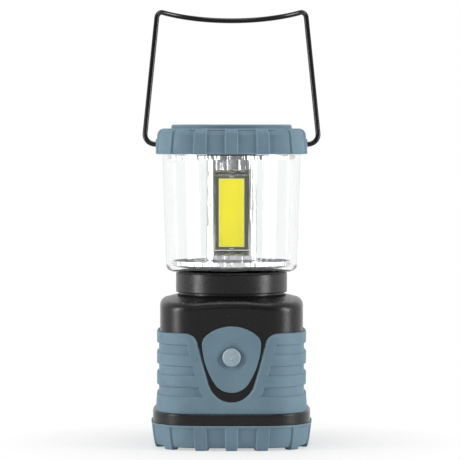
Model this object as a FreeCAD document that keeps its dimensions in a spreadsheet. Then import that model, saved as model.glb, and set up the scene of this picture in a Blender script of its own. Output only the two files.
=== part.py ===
"""Battery camping lantern: square battery base, clear round globe with a four-sided LED column,
rubber-booted cap and a folding wire bail.  Millimetres, +Z up, front (power button) towards -Y.
The origin is on the lantern's axis at the level of the feet.
"""
import FreeCAD, Part
import Sketcher
import math
import os
import re
from FreeCAD import Placement, Rotation, Vector

doc = FreeCAD.newDocument("camping_lantern")

# Driving dimensions, in millimetres and degrees
DIMENSIONS = {
    # battery base, from the feet up
    "foot_height": 1.4, "boot_skin": 0.8, "cover_floor": 2.4, "split_height": 14.8, "band_height": 6.3,
    "sleeve_top": 67.1, "deck_top": 88.0, "deck_thickness": 2.5, "shoulder_slope": 0.25, "shoulder_round": 5.0,
    "crown_radius": 250.0, "body_half": 41.8, "body_corner": 23.0, "wall": 2.2, "band_half": 46.0,
    "sleeve_half": 43.6, "groove_half": 42.4, "skirt_half": 44.2, "fit_gap": 0.05, "slip_gap": 0.3,
    # grip grooves and the shield-shaped front opening of the sleeve
    "groove_first": 30.6, "groove_height": 5.7, "groove_pitch": 12.1, "groove_round": 0.5,
    "shield_bottom": 27.7, "shield_round": 14.0, "shield_slant": 15.6, "shield_lip": 8.1, "rail_width": 5.7,
    # power switch
    "pad_top": 71.3, "pad_bottom": 33.2, "pad_half": 16.9, "pad_crown": 22.4, "pad_corner": 7.1,
    "pad_side": 45.8, "pad_toe": 11.7, "pad_proud": 1.1, "pad_seat": 1.0, "button_height": 53.5,
    "button_radius": 5.3, "button_gap": 0.3, "button_proud": 2.2, "button_travel": 0.8, "funnel_radius": 8.75,
    "funnel_depth": 1.4, "flange_radius": 6.6, "flange_thickness": 1.0, "switch_half": 3.0, "switch_depth": 3.6,
    "plunger_radius": 1.6, "board_half": 7.0, "board_height": 25.0, "board_thickness": 1.6,
    # battery cover
    "boot_half": 47.0, "boot_taper": 1.7, "boot_edge": 3.2, "boot_wall": 2.4, "rib_width": 7.1,
    "rib_pitch": 18.5, "panel_depth": 0.9, "panel_rim": 1.4, "cap_panel_rim": 0.7, "cover_wall": 2.8,
    "lip_wall": 2.0, "lip_height": 3.8, "gasket_height": 1.2, "screw_head": 6.2, "screw_head_height": 2.6,
    "screw_shank": 2.4, "screw_length": 20.0, "screw_slot": 1.6, "screw_recess": 0.6,
    "boss_radius": 7.9, "boss_height": 4.0,
    "screw_gap": 0.1, "foot_depth": 6.0, "foot_side": 1.0,
    # size D cells, contacts and the frame that parts them
    "cell_radius": 16.6, "cell_length": 61.5, "nub_radius": 4.75, "nub_height": 1.5, "cell_pitch": 17.6,
    "contact_sheet": 0.4, "spring_height": 5.4, "leaf_half": 4.0, "leaf_reach": 7.0, "contact_half": 8.0,
    "carrier_thickness": 2.2, "post_radius": 6.0, "web_thickness": 1.4, "web_reach": 29.0, "driver_half": 15.0,
    # lamp head
    "neck_radius": 31.0, "neck_height": 1.0, "collar_radius": 32.5, "collar_height": 11.4, "collar_bore": 24.0,
    "spigot_radius": 29.6, "spigot_depth": 5.5, "seal_height": 0.7, "globe_base_radius": 38.2,
    "globe_top_radius": 40.5, "globe_height": 71.6, "globe_wall": 2.2, "globe_round": 3.6,
    "dish_radius": 34.9, "dish_lip": 3.9, "dish_plate": 1.5, "column_half": 14.6, "column_corner": 4.6,
    "column_flare": 2.5, "window_half": 10.1,
    "column_top": 166.6, "column_core": 9.0, "flat_depth": 10.2, "flat_bottom": 113.4, "flat_top": 157.8,
    "flat_slope": 0.62, "led_board_half": 9.4, "led_board_height": 43.2, "led_board_thickness": 1.0,
    "led_half": 7.1, "led_height": 39.2, "led_thickness": 0.6, "wire_bore": 5.0, "lead_radius": 0.8,
    # cap and bail
    "cap_half": 44.4, "cap_top_half": 43.0, "cap_bottom": 169.7, "cap_top": 184.5, "cap_edge": 4.0,
    "cap_corner": 21.0, "cap_wall": 1.7, "cap_skin": 1.0, "cap_shell_wall": 2.2, "cap_screw_place": 6.4,
    "disc_height": 2.2, "lid_radius": 35.2, "lid_height": 2.3, "lid_round": 1.2,
    "lid_spigot": 29.8, "bail_height": 175.3, "bail_wire": 1.5, "bail_reach": 81.7, "bail_half": 51.2,
    "bail_top_half": 43.8, "bail_bend": 6.0, "bail_corner": 4.5, "bail_splay": 42.0, "bail_lean": 16.0,
    "bail_pin": 17.0, "bail_gap": 0.08,
    # fasteners
    "thread_radius": 1.1, "thread_depth": 9.0, "fastener_head": 2.3, "fastener_head_height": 1.6,
}

sheet = doc.addObject("Spreadsheet::Sheet", "dims")
for row, (alias, size) in enumerate(DIMENSIONS.items(), 1):
    sheet.set(f"A{row}", alias)
    sheet.set(f"B{row}", str(size))
    sheet.setAlias(f"B{row}", alias)
doc.recompute()

SUB_PARTS = []


def bound(formula):
    """A formula in dimension names, as an expression that refers to the sheet's cells."""
    return re.sub(r"\b(?!sqrt)[a-z_]{3,}", lambda word: "dims." + word.group(0), formula)


def value(formula):
    """The present value of a formula in dimension names."""
    return float(sheet.evalExpression(bound(formula)))


def keep(label, feature):
    """Name a finished sub-part."""
    feature.Label = label
    SUB_PARTS.append(feature)
    return feature


def solid_feature(name, shape):
    """A feature that holds a shape made with Part's own functions."""
    feature = doc.addObject("Part::Feature", name)
    feature.Shape = shape
    return feature


def origin_plane(body, role):
    return next(item for item in body.Origin.OriginFeatures if item.Role == role)


def turned(name, outline):
    """A body turned about the lantern's axis from an outline of (radius, height) formulas."""
    body = doc.addObject("PartDesign::Body", name)
    sketch = body.newObject("Sketcher::SketchObject", name + "_outline")
    sketch.AttachmentSupport = (origin_plane(body, "XZ_Plane"), [""])
    sketch.MapMode = "FlatFace"
    spots = [Vector(value(radius), value(height), 0) for radius, height in outline]
    for start, end in zip(spots, spots[1:] + spots[:1]):
        sketch.addGeometry(Part.LineSegment(start, end))
    count = len(outline)
    for index, (radius, height) in enumerate(outline):
        sketch.addConstraint(Sketcher.Constraint("Coincident", index - 1 if index else count - 1, 2, index, 1))
        if radius == "0":
            sketch.addConstraint(Sketcher.Constraint("PointOnObject", index, 1, -2))
        else:
            x_rule = sketch.addConstraint(Sketcher.Constraint("DistanceX", -1, 1, index, 1, spots[index].x))
            sketch.setExpression(f"Constraints[{x_rule}]", bound(radius))
        y_rule = sketch.addConstraint(Sketcher.Constraint("DistanceY", -1, 1, index, 1, spots[index].y))
        sketch.setExpression(f"Constraints[{y_rule}]", bound(height))
    revolution = body.newObject("PartDesign::Revolution", name + "_turned")
    revolution.Profile = sketch
    revolution.ReferenceAxis = (sketch, ["V_Axis"])
    revolution.Angle = 360
    doc.recompute()
    return body


def rounded_edges(body, radius, wanted):
    """Fillet the edges of a turned body for which wanted(edge) holds."""
    tip = body.Tip
    names = [f"Edge{n}" for n, edge in enumerate(tip.Shape.Edges, 1) if wanted(edge)]
    fillet = body.newObject("PartDesign::Fillet", f"{body.Name}_round_{len(body.Group)}")
    fillet.Base = (tip, names)
    fillet.setExpression("Radius", bound(radius))
    doc.recompute()
    return body


def ring_edge(radius, height):
    """A test for a circular edge about the axis at that radius and height."""
    def wanted(edge):
        curve = edge.Curve
        return (isinstance(curve, Part.Circle) and abs(curve.Radius - value(radius)) < 1e-4
                and abs(curve.Center.z - value(height)) < 1e-4)
    return wanted


def block(name, size, corner):
    """A box whose sizes and lowest corner are formulas."""
    box = doc.addObject("Part::Box", name)
    for prop, formula in zip(("Length", "Width", "Height"), size):
        box.setExpression(prop, bound(formula))
    for axis, formula in zip("xyz", corner):
        box.setExpression(f"Placement.Base.{axis}", bound(formula))
    return box


def rod(name, radius, length, foot, axis="z"):
    """A cylinder whose sizes and foot are formulas, along +Z, +X or +Y."""
    cylinder = doc.addObject("Part::Cylinder", name)
    cylinder.setExpression("Radius", bound(radius))
    cylinder.setExpression("Height", bound(length))
    if axis != "z":
        turn_axis = Vector(0, 1, 0) if axis == "x" else Vector(-1, 0, 0)
        cylinder.Placement = Placement(Vector(), Rotation(turn_axis, 90))
    for letter, formula in zip("xyz", foot):
        cylinder.setExpression(f"Placement.Base.{letter}", bound(formula))
    return cylinder


def softened(name, base, radius, wanted):
    """The base with a fillet on each edge whose bounding box passes the test."""
    fillet = doc.addObject("Part::Fillet", name)
    fillet.Base = base
    size = value(radius)
    fillet.Edges = [(n, size, size) for n, edge in enumerate(base.Shape.Edges, 1) if wanted(edge.BoundBox)]
    doc.recompute()
    return fillet


def fused(name, pieces):
    union = doc.addObject("Part::MultiFuse", name)
    union.Shapes = pieces
    return union


def less(name, base, *tools):
    """The base with each tool cut away in turn."""
    for number, tool in enumerate(tools, 1):
        cut = doc.addObject("Part::Cut", f"{name}_{number}" if number < len(tools) else name)
        cut.Base = base
        cut.Tool = tool
        base = cut
    return base


def group(name, pieces):
    """Like pieces that share one node, as a compound of separate solids."""
    compound = doc.addObject("Part::Compound", name)
    compound.Links = pieces
    return compound


# Crowned square: four slightly bowed sides joined by tangent corner arcs
def crowned_square(half, corner, height):
    crown = value("crown_radius")
    drop = crown - half
    reach = crown - corner
    centre = (-drop + math.sqrt(2 * reach * reach - drop * drop)) / 2
    lean = math.atan2(centre, centre + drop)
    edges = []
    for quarter in range(4):
        turn = Rotation(Vector(0, 0, 1), 90 * quarter)
        side = [Vector(crown * math.sin(a), crown * math.cos(a) - drop, height) for a in (-lean, 0, lean)]
        bend = [Vector(centre + corner * math.sin(a), centre + corner * math.cos(a), height)
                for a in (lean, math.pi / 4, math.pi / 2 - lean)]
        edges.append(Part.Arc(*[turn.multVec(p) for p in reversed(side)]).toShape())
        edges.append(Part.Arc(*[turn.multVec(p) for p in reversed(bend)]).toShape())
    return Part.Wire(Part.__sortEdges__(edges))


def corner_for(half):
    """Corner radius of a layer of the base that lies at that half width."""
    return value("body_corner") + half - value("body_half")


def prism(half, low, high, corner=None):
    wire = crowned_square(half, corner or corner_for(half), low)
    return Part.Face(wire).extrude(Vector(0, 0, high - low))


def tapered(half_low, half_high, low, high, corner_low, corner_high):
    wires = [crowned_square(half_low, corner_low, low), crowned_square(half_high, corner_high, high)]
    return Part.makeLoft(wires, True, True)


def cylinder(radius, low, high, x=0.0, y=0.0):
    return Part.makeCylinder(radius, high - low, Vector(x, y, low))


def edges_at(shape, height, half):
    """Outer edges of a crowned-square solid at one height, within reach of the half width."""
    found = []
    for edge in shape.Edges:
        box = edge.BoundBox
        flat = abs(box.ZMin - height) < 1e-3 and abs(box.ZMax - height) < 1e-3
        if flat and max(abs(box.XMin), abs(box.XMax), abs(box.YMin), abs(box.YMax)) > half - 20:
            found.append(edge)
    return found


QUARTERS = [Rotation(Vector(0, 0, 1), 90 * n) for n in range(4)]


# Levels and places that several pieces share
BAND_TOP = value("split_height + band_height")
COVER_LOW = value("foot_height + boot_skin")
FLOOR_TOP = value("foot_height + boot_skin + cover_floor")
CELL_LOW = FLOOR_TOP + value("contact_sheet + slip_gap")
CELL_SEAT = CELL_LOW + value("spring_height") + value("cell_length")
CARRIER_LOW = CELL_SEAT + value("contact_sheet")
CARRIER_TOP = CARRIER_LOW + value("carrier_thickness")
POST_REACH = value("cell_pitch + cell_radius - fastener_head")
CARRIER_POSTS = [(x * POST_REACH, y * POST_REACH) for x, y in ((1, 0), (0, 1), (-1, 0))]
SCREW_RING = (value("neck_radius") + value("collar_bore")) / 2 / math.sqrt(2)
COLLAR_SCREWS = [(x * SCREW_RING, y * SCREW_RING) for x in (-1, 1) for y in (-1, 1)]
BODY_FRONT = value("body_half")
BOARD_FRONT = BODY_FRONT - value("wall") - value("flange_thickness") - value("button_travel") \
    - value("switch_depth") - value("slip_gap") * 2
SCREW_HEIGHTS = [value("button_height") + side * (value("board_height") / 2 - value("fastener_head") - 0.6)
                 for side in (-1, 1)]


def quarter_turns(shape):
    """The shape at each of the four sides."""
    copies = []
    for turn in QUARTERS:
        copy = shape.copy()
        copy.Placement = Placement(Vector(), turn).multiply(shape.Placement)
        copies.append(copy)
    return copies


def corner_place(half, corner):
    """Distance of a crowned square's corner from either middle plane."""
    drop, reach = value("crown_radius") - half, value("crown_radius") - corner
    centre = (-drop + math.sqrt(2 * reach * reach - drop * drop)) / 2
    return centre + corner / math.sqrt(2)


def panel_boxes(low, high, half, corner):
    """Boxes over the sunk panels of a boot: between the three ribs of a side and the ribs on its corners."""
    half_rib = value("rib_width") / 2
    pitch = value("rib_pitch")
    reach = half + 10
    corner_rib = corner_place(half, corner) - half_rib / math.sqrt(2)
    spans = [(half_rib, pitch - half_rib), (pitch + half_rib, corner_rib)]
    spans += [(-b, -a) for a, b in spans]
    boxes = []
    for start, end in spans:
        boxes += quarter_turns(Part.makeBox(end - start, reach, high - low, Vector(start, -reach, low)))
    return boxes


# Housing: black moulded shell with a coned shoulder, a flange band at its foot and a round neck
def housing_shape():
    half, deck = value("body_half"), value("deck_top")
    neck, split = value("neck_radius"), value("split_height")
    slope, reach = value("shoulder_slope"), 2 * half
    shoulder = [Vector(0, 0, split), Vector(reach, 0, split), Vector(reach, 0, deck - slope * (reach - neck)),
                Vector(neck, 0, deck), Vector(0, 0, deck), Vector(0, 0, split)]
    turned_shoulder = Part.Face(Part.makePolygon(shoulder)).revolve(Vector(), Vector(0, 0, 1), 360)
    outer = prism(half, split, deck).common(turned_shoulder)
    rim = [edge for edge in outer.Edges if edge.BoundBox.ZMin > deck - slope * reach
           and edge.BoundBox.DiagonalLength > 1 and edge.BoundBox.ZMax < deck - 0.1]
    outer = outer.makeFillet(value("shoulder_round"), rim)
    band_top = split + value("band_height")
    band = prism(value("band_half"), split, band_top)
    band = band.makeFillet(value("groove_round") * 2, edges_at(band, band_top, value("band_half")))
    inner_half = half - value("wall")
    hollow_cone = turned_shoulder.copy()
    hollow_cone.translate(Vector(0, 0, -value("deck_thickness")))
    hollow = prism(inner_half, split - 1, deck).common(hollow_cone.fuse(prism(inner_half, split - 1, split + 1)))
    shell = outer.fuse(band).fuse(cylinder(neck, deck - 1, deck + value("neck_height"))).cut(hollow)
    return shell.cut(cylinder(value("collar_bore"), deck - 10, deck + 10)).removeSplitter()


def pad_outline():
    """Egg outline of the switch pad in the front plane, from four tangent arcs a side."""
    top, bottom, half = value("pad_top"), value("pad_bottom"), value("pad_half")
    crown, corner = value("pad_crown"), value("pad_corner")
    side, toe = value("pad_side"), value("pad_toe")
    crown_z, toe_z, corner_x = top - crown, bottom + toe, half - corner
    corner_z = crown_z + math.sqrt((crown - corner) ** 2 - corner_x ** 2)
    # centre of the side arc: where it touches both the corner arc and the toe arc from outside
    gap_x, gap_z = -corner_x, toe_z - corner_z
    gap = math.hypot(gap_x, gap_z)
    along = (gap ** 2 + (side - corner) ** 2 - (side - toe) ** 2) / (2 * gap)
    across = math.sqrt((side - corner) ** 2 - along ** 2)
    side_x = corner_x + along * gap_x / gap + across * gap_z / gap
    side_z = corner_z + along * gap_z / gap - across * gap_x / gap

    def spot(cx, cz, radius, angle):
        return Vector(cx + radius * math.cos(angle), 0, cz + radius * math.sin(angle))

    crown_end = math.atan2(corner_z - crown_z, corner_x)
    corner_end = math.atan2(corner_z - side_z, corner_x - side_x)
    side_end = math.atan2(toe_z - side_z, -side_x)
    right = [(corner_x, corner_z, corner, crown_end, corner_end), (side_x, side_z, side, corner_end, side_end)]
    edges = []
    for cx, cz, radius, start, end in right:
        arc = [spot(cx, cz, radius, a) for a in (start, (start + end) / 2, end)]
        edges.append(Part.Arc(*arc).toShape())
        edges.append(Part.Arc(*[Vector(-p.x, 0, p.z) for p in arc]).toShape())
    for cz, radius, angle, tip in ((crown_z, crown, crown_end, top), (toe_z, toe, side_end, bottom)):
        end = spot(0, cz, radius, angle)
        edges.append(Part.Arc(end, Vector(0, 0, tip), Vector(-end.x, 0, end.z)).toShape())
    return Part.Wire(Part.__sortEdges__(edges))


def front_prism(wire, near, far):
    """A wire in the XZ plane made into a solid from y = -far to y = -near."""
    face = Part.Face(wire)
    face.translate(Vector(0, -far, 0))
    return face.extrude(Vector(0, far - near, 0))


def switch_bore(radius, near, far):
    axis = Vector(0, 1, 0)
    return Part.makeCylinder(radius, far - near, Vector(0, -far, value("button_height")), axis)


def front_rod(radius, near, far, height, x=0.0):
    return Part.makeCylinder(radius, far - near, Vector(x, -far, height), Vector(0, 1, 0))


def housing():
    shell = housing_shape()
    seat = BODY_FRONT - value("pad_seat")
    shell = shell.cut(front_prism(pad_outline(), seat, BODY_FRONT + 5))
    shell = shell.cut(switch_bore(value("button_radius") + value("button_gap"), 30, BODY_FRONT + 5))
    inner = BODY_FRONT - value("wall")
    for height in SCREW_HEIGHTS:
        boss = front_rod(value("fastener_head"), BOARD_FRONT, inner + 0.5, height)
        shell = shell.fuse(boss).cut(front_rod(value("thread_radius"), BOARD_FRONT - 1, inner, height))
    # four posts under the deck carry the contact carrier, four holes pass the collar screws
    post_low, post_high = CARRIER_TOP, value("deck_top") - value("deck_thickness") + 0.5
    for x, y in CARRIER_POSTS:
        shell = shell.fuse(cylinder(value("fastener_head") + 0.7, post_low, post_high + 1, x, y))
        shell = shell.cut(cylinder(value("thread_radius"), post_low - 1, post_high - 1.5, x, y))
    for x, y in COLLAR_SCREWS:
        shell = shell.cut(cylinder(value("thread_radius") + 0.2, 70, value("deck_top") + 10, x, y))
    keep("housing", solid_feature("housing", shell.removeSplitter()))


# Grip sleeve: rubber over the housing, with grooves round the sides and a shield opening in front
def shield_wire(offset, top, lip):
    """Shield outline: a round toe, two slanted sides and, with a lip, corners that flare out to the top."""
    slant = math.radians(value("shield_slant"))
    centre_z = value("shield_bottom + shield_round")
    radius = value("shield_round") + offset

    def edge_x(height):
        return radius / math.cos(slant) + math.tan(slant) * (height - centre_z)

    touch = Vector(radius * math.cos(slant), 0, centre_z - radius * math.sin(slant))
    right = []
    if lip:
        brow = value("sleeve_top")
        centre = Vector(edge_x(brow - lip) + lip / math.cos(slant), 0, brow - lip)
        swing = [centre + Vector(-lip * math.cos(a), 0, lip * math.sin(a))
                 for a in (slant, (slant + math.pi / 2) / 2, math.pi / 2)]
        right.append(Part.makeLine(touch, swing[0]))
        right.append(Part.Arc(*swing).toShape())
        right.append(Part.makeLine(swing[2], Vector(swing[2].x, 0, top)))
        corner = Vector(swing[2].x, 0, top)
    else:
        corner = Vector(edge_x(top), 0, top)
        right.append(Part.makeLine(touch, corner))
    left = [edge.mirror(Vector(), Vector(1, 0, 0)) for edge in right]
    toe = Part.Arc(touch, Vector(0, 0, centre_z - radius), Vector(-touch.x, 0, touch.z)).toShape()
    brow_line = Part.makeLine(corner, Vector(-corner.x, 0, top))
    return Part.Wire(Part.__sortEdges__(right + left + [toe, brow_line]))


def grip_sleeve():
    low, high = BAND_TOP + value("fit_gap"), value("sleeve_top")
    half, skirt, first = value("sleeve_half"), value("skirt_half"), value("groove_first")
    sleeve = prism(half, low, high)
    sleeve = sleeve.makeFillet(value("groove_round * 2"), edges_at(sleeve, high, half))
    sleeve = sleeve.fuse(tapered(skirt, half, low, first, corner_for(skirt), corner_for(half)))
    rail = front_prism(shield_wire(value("rail_width"), high + 1, 0), 0, half + 10)
    for number in range(3):
        bottom = first + number * value("groove_pitch")
        top = bottom + value("groove_height")
        ring = prism(half + 5, bottom, top).cut(prism(value("groove_half"), bottom, top)).cut(rail)
        sleeve = sleeve.cut(ring)
    sleeve = sleeve.cut(prism(value("body_half + fit_gap"), low - 1, high + 1))
    sleeve = sleeve.cut(front_prism(shield_wire(0, high + 1, value("shield_lip")), 0, half + 10)).removeSplitter()
    levels = [first + number * value("groove_pitch") + step
              for number in range(3) for step in (0, value("groove_height"))]
    groove_edges = [edge for edge in sleeve.Edges if isinstance(edge.Curve, Part.Circle)
                    and edge.BoundBox.ZLength < 1e-3 and min(abs(edge.BoundBox.ZMin - z) for z in levels) < 1e-3]
    sleeve = sleeve.makeFillet(value("groove_round"), groove_edges)
    keep("grip_sleeve", solid_feature("grip_sleeve", sleeve))


# Switch: a raised egg-shaped pad with a funnel round a translucent push button
def switch_pad():
    front = BODY_FRONT + value("pad_proud")
    back = BODY_FRONT - value("pad_seat")
    pad = front_prism(pad_outline(), back, front)
    rim = [edge for edge in pad.Edges if abs(edge.BoundBox.YMax + front) < 1e-4]
    pad = pad.makeFillet(value("pad_proud / 2"), rim)
    bore = value("button_radius + button_gap")
    throat = Vector(0, -front + value("funnel_depth"), value("button_height"))
    funnel = Part.makeCone(bore, value("funnel_radius"), value("funnel_depth"), throat, Vector(0, -1, 0))
    pad = pad.cut(funnel).cut(switch_bore(bore, 30, front + 1))
    keep("switch_pad", solid_feature("switch_pad", pad))


def facing_front(body, height):
    """Turn a body made about Z so that its axis points forward at that height."""
    body.Placement = Placement(Vector(), Rotation(Vector(1, 0, 0), 90))
    body.setExpression("Placement.Base.z", bound(height))


def switch():
    shoulder = "body_half - wall - slip_gap"
    back = f"{shoulder} - flange_thickness"
    nose = "body_half + button_proud"
    button = turned("power_button", [("0", back), ("flange_radius", back), ("flange_radius", shoulder),
                                     ("button_radius", shoulder), ("button_radius", nose), ("0", nose)])
    rounded_edges(button, "button_proud * 0.7", ring_edge("button_radius", nose))
    facing_front(button, "button_height")
    keep("power_button", button)

    switch_front = f"{back} - button_travel - slip_gap"
    plunger_end = f"{switch_front} - slip_gap"
    plunger = turned("switch_plunger", [("0", plunger_end), ("plunger_radius", plunger_end),
                                        ("plunger_radius", back), ("0", back)])
    facing_front(plunger, "button_height")
    keep("switch_plunger", plunger)

    case = block("switch_case", ("switch_half * 2", "switch_depth", "switch_half * 2"),
                 ("-switch_half", f"-({switch_front})", "button_height - switch_half"))
    pit = rod("switch_pit", "plunger_radius + slip_gap + fit_gap", "button_travel + slip_gap * 3",
              ("0", f"-({switch_front})", "button_height"), "y")
    keep("tact_switch", less("tact_switch", case, pit))

    board_top = f"{switch_front} - switch_depth"
    board = block("board_blank", ("board_half * 2", "board_thickness", "board_height"),
                  ("-board_half", f"-({board_top})", "button_height - board_height / 2"))
    holes, screws = [], []
    for number, sign in enumerate("-+", 1):
        height = f"button_height {sign} (board_height / 2 - fastener_head - slip_gap * 2)"
        holes.append(rod(f"board_hole_{number}", "thread_radius + fit_gap", "board_thickness",
                         ("0", f"-({board_top})", height), "y"))
        shank = rod(f"board_shank_{number}", "thread_radius", "board_thickness + 4",
                    ("0", f"-({board_top}) - 4", height), "y")
        head = rod(f"board_head_{number}", "fastener_head", "fastener_head_height",
                   ("0", f"-({board_top}) + board_thickness", height), "y")
        screws.append(fused(f"board_screw_{number}", [shank, head]))
    keep("switch_board", less("switch_board", board, *holes))
    keep("board_screws", group("board_screws", screws))


housing()
grip_sleeve()
switch_pad()
switch()


# Battery cover: stiff dish, ribbed rubber boot with feet, gasket and a coin screw
def battery_cover():
    split = value("split_height")
    top = split - value("slip_gap + gasket_height")
    dish_half = value("boot_half - boot_taper - boot_wall")
    hollow_half = dish_half - value("cover_wall")
    dish = prism(dish_half, COVER_LOW, top)
    dish = dish.makeFillet(value("boot_edge / 2"), edges_at(dish, COVER_LOW, dish_half))
    dish = dish.cut(prism(hollow_half, FLOOR_TOP, top + 1))
    lip_half = value("body_half - wall - slip_gap")
    lip = prism(lip_half, FLOOR_TOP, split + value("lip_height"))
    dish = dish.fuse(lip.cut(prism(lip_half - value("lip_wall"), FLOOR_TOP, split + 10)))
    boss = cylinder(value("boss_radius"), FLOOR_TOP - 1, FLOOR_TOP + value("boss_height"))
    pit = cylinder(value("screw_head + slip_gap"), COVER_LOW - 1, FLOOR_TOP)
    dish = dish.fuse(boss).cut(pit)
    dish = dish.cut(cylinder(value("screw_shank + screw_gap"), FLOOR_TOP - 1, FLOOR_TOP + 20))
    keep("bottom_cover", solid_feature("bottom_cover", dish.removeSplitter()))
    gasket = prism(dish_half, top, split - value("slip_gap")).cut(prism(hollow_half, top - 1, split))
    keep("cover_gasket", solid_feature("cover_gasket", gasket))


def cover_boot():
    low, high = value("foot_height"), value("split_height - slip_gap")
    foot_half, half = value("boot_half - boot_taper"), value("boot_half")
    sunk = value("panel_depth")
    body = tapered(foot_half, half, low, high, corner_for(foot_half), corner_for(half))
    body = body.makeFillet(value("boot_edge"), edges_at(body, low, foot_half))
    panel_skin = tapered(foot_half - sunk, half - sunk, low, high,
                         corner_for(foot_half - sunk), corner_for(half - sunk))
    for box in panel_boxes(-1, high - value("panel_rim"), half, corner_for(half)):
        body = body.cut(box.cut(panel_skin))
    # the ribs run on down as feet
    ground = tapered(foot_half - value("foot_side / 2"), half, 0, high,
                     corner_for(foot_half - value("foot_side / 2")), corner_for(half))
    ground = ground.makeFillet(value("foot_side"), edges_at(ground, 0, foot_half))
    feet = ground.common(prism(half + 5, 0, value("foot_height + boot_edge")))
    feet = feet.cut(prism(foot_half - value("foot_depth"), -1, high))
    for box in panel_boxes(-1, high, half, corner_for(half)):
        feet = feet.cut(box)
    hollow = prism(value("boot_half - boot_taper - boot_wall + fit_gap"), COVER_LOW, high + 1)
    hollow = hollow.makeFillet(value("boot_edge / 2"), edges_at(hollow, COVER_LOW, foot_half))
    body = body.fuse(feet).cut(hollow)
    body = body.cut(cylinder(value("screw_head + slip_gap * 2"), -1, COVER_LOW + 1))
    keep("cover_boot", solid_feature("cover_boot", body.removeSplitter()))


def cover_screw():
    seat = "foot_height + boot_skin + cover_floor - slip_gap"
    face = f"{seat} - screw_head_height"
    end = f"{face} + screw_length"
    screw = turned("screw_turned", [("0", face), ("screw_head", face), ("screw_head", seat), ("screw_shank", seat),
                                    ("screw_shank", end), ("0", end)])
    rounded_edges(screw, "screw_recess", ring_edge("screw_head", face))
    slot = block("coin_slot", ("screw_head * 3", "screw_slot", "screw_slot"),
                 ("-screw_head * 1.5", "-screw_slot / 2", f"{face} - screw_slot / 4"))
    keep("cover_screw", less("cover_screw", screw, slot))


# Four size D cells in series, the frame between them and their contacts
CELLS = {"cell_1": (-1, -1, True), "cell_2": (-1, 1, False), "cell_3": (1, 1, True), "cell_4": (1, -1, False)}


def leaf_spring(x, y, base_level, tip_level):
    """A bent strip of spring sheet: a flat foot on the contact, a ramp and a flat pad under the cell."""
    reach, thick = value("leaf_reach"), math.copysign(value("contact_sheet"), tip_level - base_level)
    pad = tip_level - thick
    lower = [(-reach, base_level), (-reach / 2, base_level), (reach / 3, pad), (reach, pad)]
    upper = [(across, level + thick) for across, level in reversed(lower)]
    outline = [Vector(x + across, y - value("leaf_half"), level) for across, level in lower + upper]
    return Part.Face(Part.makePolygon(outline + outline[:1])).extrude(Vector(0, 2 * value("leaf_half"), 0))


def cells():
    pitch = value("cell_pitch")
    cover_leaves, top_leaves = [], []
    for name, (x, y, upright) in CELLS.items():
        foot = "foot_height + boot_skin + cover_floor + contact_sheet + slip_gap"
        foot += " + spring_height" if upright else ""
        can_foot = foot if upright else f"{foot} + nub_height"
        nub_foot = f"{foot} + cell_length - nub_height" if upright else foot
        place = (f"{x} * cell_pitch", f"{y} * cell_pitch")
        can = rod(f"{name}_can", "cell_radius", "cell_length - nub_height", (*place, can_foot))
        nub = rod(f"{name}_nub", "nub_radius", "nub_height", (*place, nub_foot))
        keep(name, fused(name, [can, nub]))
        if upright:
            cover_leaves.append(leaf_spring(x * pitch, y * pitch, FLOOR_TOP + value("contact_sheet"),
                                              CELL_LOW + value("spring_height - slip_gap")))
        else:
            top_leaves.append(leaf_spring(x * pitch, y * pitch, CELL_SEAT, CELL_LOW + value("cell_length")))
    keep("cover_springs", solid_feature("cover_springs", Part.makeCompound(cover_leaves)))
    keep("top_springs", solid_feature("top_springs", Part.makeCompound(top_leaves)))


def contacts():
    sheet_half, reach = "contact_half", "cell_pitch + contact_half"
    floor = "foot_height + boot_skin + cover_floor"
    for side, x in (("left", "-cell_pitch"), ("right", "cell_pitch")):
        keep(f"cover_bridge_{side}",
             block(f"cover_bridge_{side}", (f"2 * ({sheet_half})", f"2 * ({reach})", "contact_sheet"),
                   (f"{x} - ({sheet_half})", f"-({reach})", floor)))
    seat = f"{floor} + contact_sheet + slip_gap + spring_height + cell_length"
    square = (f"2 * ({sheet_half})", f"2 * ({sheet_half})", "contact_sheet")
    for name, x in (("top_terminal_positive", "-cell_pitch"), ("top_terminal_negative", "cell_pitch")):
        keep(name, block(name, square, (f"{x} - ({sheet_half})", f"-cell_pitch - ({sheet_half})", seat)))
    keep("top_bridge", block("top_bridge", (f"2 * ({reach})", f"2 * ({sheet_half})", "contact_sheet"),
                             (f"-({reach})", f"cell_pitch - ({sheet_half})", seat)))


def battery_frame():
    foot = "foot_height + boot_skin + cover_floor + boss_height + slip_gap"
    length = "cell_length + spring_height + contact_sheet * 2 - boss_height"
    post = rod("frame_post", "post_radius", length, ("0", "0", foot))
    webs = []
    web_plans = {"across": ("web_reach * 2", "web_thickness"), "along": ("web_thickness", "web_reach * 2")}
    for name, size in web_plans.items():
        webs.append(block(f"web_{name}", (*size, f"{length} - contact_sheet"),
                          (f"-({size[0]}) / 2", f"-({size[1]}) / 2", foot)))
    bore = rod("frame_bore", "screw_shank + slip_gap + screw_gap", length, ("0", "0", foot))
    keep("battery_frame", less("battery_frame", fused("frame_blank", [post, *webs]), bore))


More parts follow.
